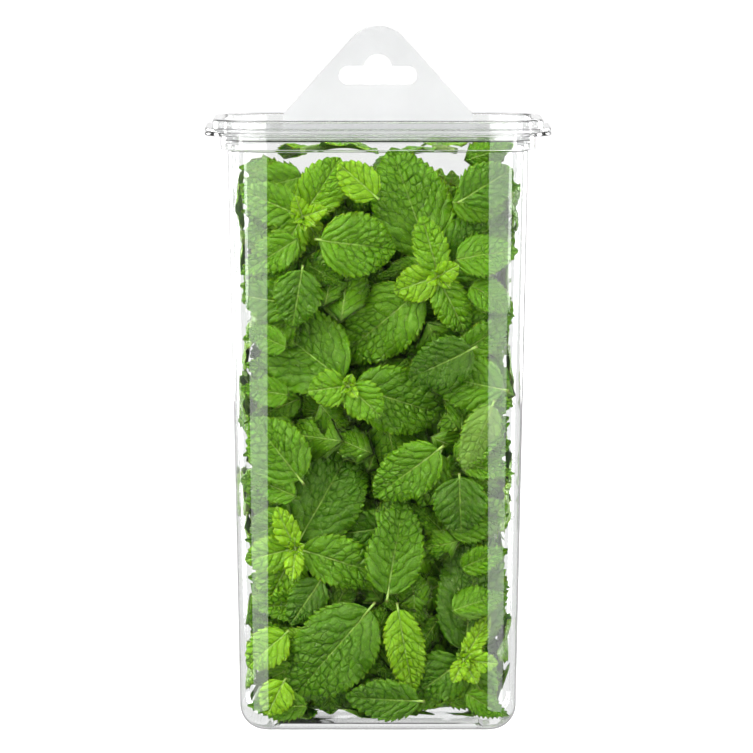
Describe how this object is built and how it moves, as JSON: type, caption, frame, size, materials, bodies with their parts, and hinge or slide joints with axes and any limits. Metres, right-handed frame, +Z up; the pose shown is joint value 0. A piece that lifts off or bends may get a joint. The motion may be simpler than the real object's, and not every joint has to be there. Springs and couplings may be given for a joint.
{
  "type": "bunch of mint in a clear hanging tub",
  "caption": "Fresh mint sprigs and leaves packed upright in a tall clear plastic tub with a press-on lid and a slotted hang tab.",
  "frame": {"origin": "bottom centre of the tub, where it stands", "axes": "+Z up, -Y towards the front face, +X to the viewer's right"},
  "size_m": [0.1392, 0.0986, 0.2819],
  "materials": {
    "tub_plastic": "clear formed plastic sheet",
    "lid_plastic": "clear formed plastic sheet",
    "tab_plastic": "frosted translucent sheet",
    "mint": "soft sheen, quilted between the veins"
  },
  "bodies": {
    "root": {"tub": "tub_plastic", "lid": "lid_plastic", "hang_tab": "tab_plastic", "back_shoot_1": "mint", "back_shoot_2": "mint", "back_shoot_3": "mint", "back_shoot_4": "mint", "back_sprig_1": "mint", "back_sprig_2": "mint", "back_sprig_3": "mint", "back_sprig_4": "mint", "core_sprig_1": "mint", "core_sprig_2": "mint", "core_sprig_3": "mint", "floor_pair_1": "mint", "floor_pair_2": "mint", "front_leaf_01": "mint", "front_leaf_02": "mint", "front_leaf_03": "mint", "front_leaf_04": "mint", "front_leaf_05": "mint", "front_leaf_06": "mint", "front_leaf_07": "mint", "front_leaf_08": "mint", "front_leaf_09": "mint", "front_leaf_10": "mint", "front_leaf_11": "mint", "front_leaf_12": "mint", "front_leaf_13": "mint", "front_leaf_14": "mint", "front_leaf_15": "mint", "front_leaf_16": "mint", "front_leaf_17": "mint", "front_leaf_18": "mint", "front_leaf_19": "mint", "front_leaf_20": "mint", "front_leaf_21": "mint", "front_leaf_22": "mint", "front_leaf_23": "mint", "front_shoot_1": "mint", "front_shoot_2": "mint", "front_shoot_3": "mint", "front_shoot_4": "mint", "front_shoot_5": "mint", "inner_shoot_1": "mint", "inner_shoot_2": "mint", "inner_shoot_3": "mint", "inner_shoot_4": "mint", "inner_shoot_5": "mint", "inner_shoot_6": "mint", "left_pair_1": "mint", "left_pair_2": "mint", "left_pair_3": "mint", "left_pair_4": "mint", "right_pair_1": "mint", "right_pair_2": "mint", "right_pair_3": "mint", "right_pair_4": "mint", "top_pair_1": "mint", "top_pair_2": "mint"}
  },
  "joints": []
}
